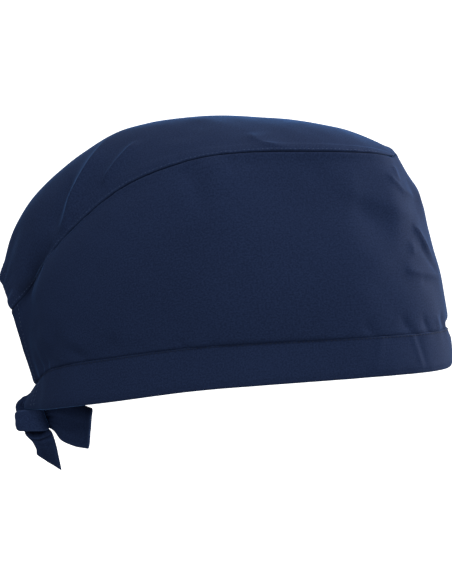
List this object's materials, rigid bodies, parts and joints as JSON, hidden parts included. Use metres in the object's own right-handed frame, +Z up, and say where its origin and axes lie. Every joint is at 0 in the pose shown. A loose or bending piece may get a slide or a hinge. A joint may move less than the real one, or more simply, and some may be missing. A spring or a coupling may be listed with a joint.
{
  "type": "scrub cap",
  "caption": "Soft cloth scrub cap in its worn shape, with a crown panel, wrap-round side panel, folded band and knotted rear ties.",
  "frame": {"origin": "centre of the head opening, about level with the band's lower edge at the wearer's ears", "axes": "+X towards the wearer's forehead, +Y towards the wearer's left ear, +Z up through the crown as the cap is worn"},
  "size_m": [0.2304, 0.1638, 0.1776],
  "materials": {
    "side_cloth": "navy plain-weave cotton blend, matt with a faint sheen",
    "crown_cloth": "navy plain-weave cotton blend, matt with a faint sheen",
    "band_cloth": "navy plain-weave cotton blend, folded double and topstitched",
    "tie_cloth": "navy plain-weave cotton blend, folded double and knotted"
  },
  "bodies": {
    "root": {"side_panel": "side_cloth", "crown_panel": "crown_cloth", "band": "band_cloth", "tie_right": "tie_cloth", "tie_left": "tie_cloth"}
  },
  "joints": []
}
